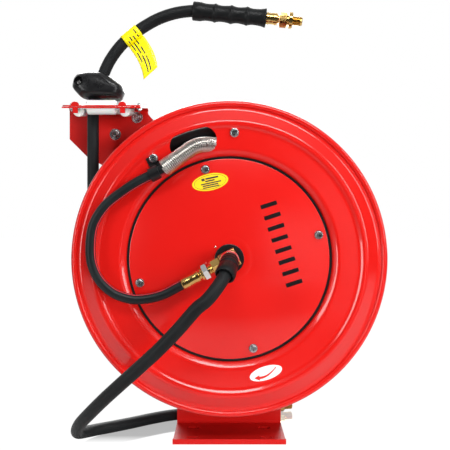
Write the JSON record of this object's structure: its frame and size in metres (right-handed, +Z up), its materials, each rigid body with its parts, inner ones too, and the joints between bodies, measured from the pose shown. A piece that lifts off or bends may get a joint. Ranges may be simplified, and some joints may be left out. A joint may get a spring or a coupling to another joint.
{
  "type": "retractable air hose reel",
  "caption": "Spring-rewind air hose reel: red pressed-steel drum on a bent plate stand, swivel inlet, roller hose guide, hose with ball stop and brass end.",
  "frame": {"origin": "underside of the stand's foot, straight below the drum's axle, on its middle line", "axes": "+X right seen from the front, +Y from the front (swivel side) to the back, +Z up"},
  "size_m": [0.4824, 0.2783, 0.6607],
  "materials": {
    "red_paint": "glossy powder coat",
    "zinc": "bright zinc plating",
    "bright_steel": "bright spring wire",
    "steel": "machined",
    "bronze": "sintered bush",
    "brass": "machined, bright",
    "black_rubber": "matt, fine cloth wrap",
    "black_plastic": "moulded",
    "white_nylon": "smooth",
    "yellow_film": "plain printed film",
    "white_film": "plain film"
  },
  "bodies": {
    "stand_body": {"stand": "red_paint", "guide_arm": "red_paint", "roller_plate": "red_paint", "guide_arm_bolt_1": "zinc", "guide_arm_bolt_2": "zinc", "plate_bolt_1": "zinc", "plate_bolt_2": "zinc", "pin_front": "zinc", "pin_rear": "zinc", "pin_left": "zinc", "pin_right": "zinc", "pawl_bolt": "zinc", "pawl_spring": "zinc", "shaft_nut": "zinc", "main_shaft": "steel", "spring_arbor": "steel", "swivel_stem": "zinc", "lead_in_fitting": "brass", "end_ferrule": "brass", "strain_relief": "black_rubber", "lead_in_hose": "black_rubber", "main_hose_run": "black_rubber", "main_hose_tail": "black_rubber", "hose_grip": "black_rubber", "stop_front": "black_plastic", "stop_rear": "black_plastic", "hose_tag": "yellow_film"},
    "drum": {"front_flange": "red_paint", "rear_flange": "red_paint", "front_cover": "red_paint", "rear_cover": "red_paint", "drum_core": "red_paint", "cover_bolt_1": "zinc", "cover_bolt_2": "zinc", "cover_bolt_3": "zinc", "cover_bolt_4": "zinc", "clamp_bolt": "zinc", "flange_bolt": "zinc", "swivel_nut": "zinc", "spring_guard": "bright_steel", "power_spring": "steel", "ratchet_ring": "steel", "front_bush": "bronze", "rear_bush": "bronze", "swivel_body": "brass", "outlet_adapter": "brass", "jumper_ferrule": "brass", "cover_seal": "black_rubber", "hose_coil": "black_rubber", "jumper_hose": "black_rubber", "hub_washer": "black_plastic", "hose_clamp": "black_plastic", "caution_label": "yellow_film", "rotation_label": "white_film"},
    "pawl": {"pawl": "steel"},
    "roller_front": {"roller_front": "white_nylon"},
    "roller_rear": {"roller_rear": "white_nylon"},
    "roller_left": {"roller_left": "white_nylon"},
    "roller_right": {"roller_right": "white_nylon"},
    "end_fitting": {"end_fitting": "brass"}
  },
  "joints": [
    {"name": "drum_spin", "type": "hinge", "parent": "stand_body", "child": "drum", "pos_m": [0, 0, 0.2714], "axis": [0, 1, 0], "range_deg": [0, 2970], "stiffness_Nm_per_rad": 0.058, "springref_deg": -2979.38},
    {"name": "pawl_pivot", "type": "hinge", "parent": "stand_body", "child": "pawl", "pos_m": [0.056, 0.0332, 0.342], "axis": [0, 1, 0], "range_deg": [0, 10], "stiffness_Nm_per_rad": 0.02, "springref_deg": -34.38},
    {"name": "front_roller_spin", "type": "hinge", "parent": "stand_body", "child": "roller_front", "pos_m": [-0.18875, -0.02176, 0.49481], "axis": [1, 0, 0], "continuous": true},
    {"name": "rear_roller_spin", "type": "hinge", "parent": "stand_body", "child": "roller_rear", "pos_m": [-0.18875, 0.02303, 0.50433], "axis": [1, 0, 0], "continuous": true},
    {"name": "left_roller_spin", "type": "hinge", "parent": "stand_body", "child": "roller_left", "pos_m": [-0.225, 0.00163, 0.49488], "axis": [0, 0.9781, 0.2079], "continuous": true},
    {"name": "right_roller_spin", "type": "hinge", "parent": "stand_body", "child": "roller_right", "pos_m": [-0.1559, 0.00163, 0.49488], "axis": [0, 0.9781, 0.2079], "continuous": true},
    {"name": "end_fitting_swivel", "type": "hinge", "parent": "stand_body", "child": "end_fitting", "pos_m": [0.07617, 0, 0.63317], "axis": [0.9952, 0, -0.0975], "continuous": true}
  ]
}
